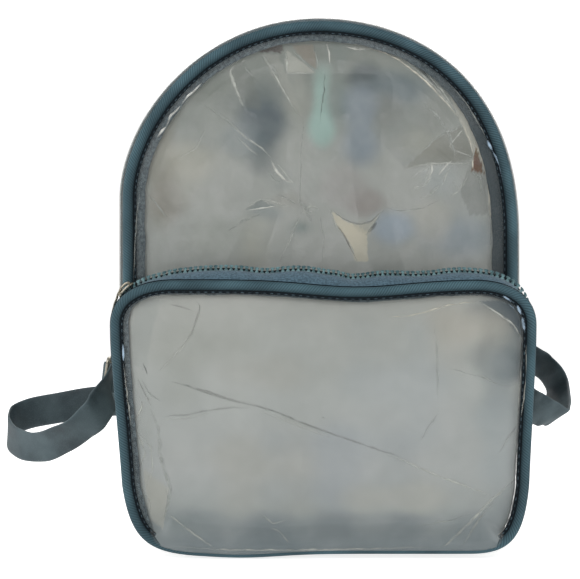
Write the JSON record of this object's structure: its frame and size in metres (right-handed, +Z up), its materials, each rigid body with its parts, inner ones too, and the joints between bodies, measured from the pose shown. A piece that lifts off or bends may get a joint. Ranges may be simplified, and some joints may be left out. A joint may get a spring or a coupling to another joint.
{
  "type": "clear backpack",
  "caption": "Small clear vinyl backpack with an arched zipped body, a zipped front pocket, slate-blue cord piping and two flat shoulder straps with metal sliders.",
  "frame": {"origin": "the middle of the flat base of the body, on the surface that the bag stands on", "axes": "+X to the right of the front view, +Y from the front pocket to the wearer's back, +Z up"},
  "size_m": [0.3663, 0.1492, 0.313],
  "materials": {
    "clear_vinyl": "clear, glossy and slightly rippled",
    "crumpled_film": "hazy, crumpled film with bright creases",
    "piping": "slate blue with a fine diagonal grain, satin",
    "zip_tape": "fine woven slate-blue tape, matt",
    "zip_teeth": "moulded teeth, dark teal, satin",
    "metal": "warm nickel, satin",
    "strap": "smooth slate strap with a fine grain, satin"
  },
  "bodies": {
    "root": {"front_panel": "clear_vinyl", "back_panel": "clear_vinyl", "zip_front_strip": "clear_vinyl", "zip_rear_strip": "clear_vinyl", "base_gusset": "clear_vinyl", "pocket_panel": "clear_vinyl", "pocket_rear_strip": "clear_vinyl", "pocket_gusset": "clear_vinyl", "body_film": "crumpled_film", "pocket_film": "crumpled_film", "front_piping": "piping", "back_piping": "piping", "pocket_piping": "piping", "front_seam_binding": "zip_tape", "zip_front_tape": "zip_tape", "zip_rear_tape": "zip_tape", "pocket_seam_binding": "zip_tape", "pocket_front_tape": "zip_tape", "pocket_rear_tape": "zip_tape", "zip_chain": "zip_teeth", "pocket_zip_chain": "zip_teeth", "zip_slider": "metal", "pocket_zip_slider": "metal", "strap_slider_left": "metal", "strap_slider_right": "metal", "yoke": "strap", "upper_strap_left": "strap", "upper_strap_right": "strap", "lower_strap_left": "strap", "lower_strap_right": "strap", "strap_anchor_left": "strap", "strap_anchor_right": "strap"}
  },
  "joints": []
}
